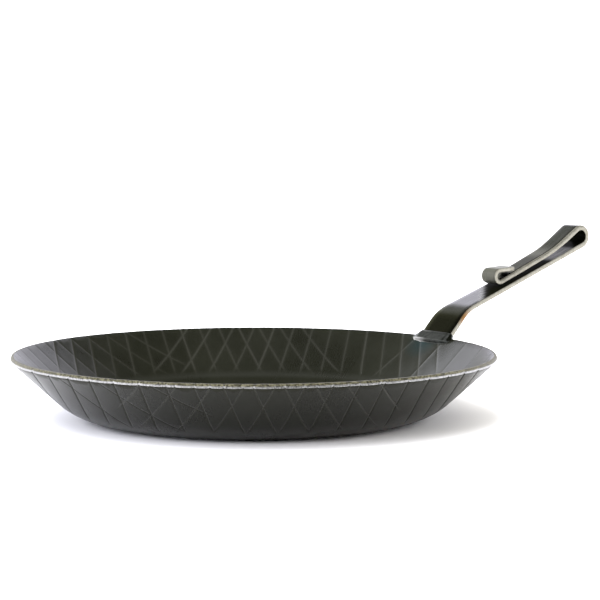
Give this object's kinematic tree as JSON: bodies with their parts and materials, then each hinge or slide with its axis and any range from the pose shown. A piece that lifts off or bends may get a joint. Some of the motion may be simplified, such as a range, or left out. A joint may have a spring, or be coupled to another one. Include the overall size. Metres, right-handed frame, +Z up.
{
  "type": "frying pan",
  "caption": "Shallow pressed iron frying pan with a flared wall, a rounded knuckle and a flat strap handle that is folded into a hanging hook and welded at the rim.",
  "frame": {"origin": "on the pan's axis, at the underside of its flat base", "axes": "+X from the pan's axis out along the handle, +Z up out of the bowl, +Y to the left of the handle seen from above with +X ahead"},
  "size_m": [0.3993, 0.2804, 0.1012],
  "materials": {
    "black_iron": "blackened sheet iron, satin, embossed criss-cross lines, ground rim",
    "strap_steel": "grey steel strap, satin, with bright ground edges",
    "weld_metal": "weld metal ground smooth"
  },
  "bodies": {
    "root": {"pan_bowl": "black_iron", "hook_handle": "strap_steel", "weld_inside": "weld_metal", "weld_outside": "weld_metal"}
  },
  "joints": []
}
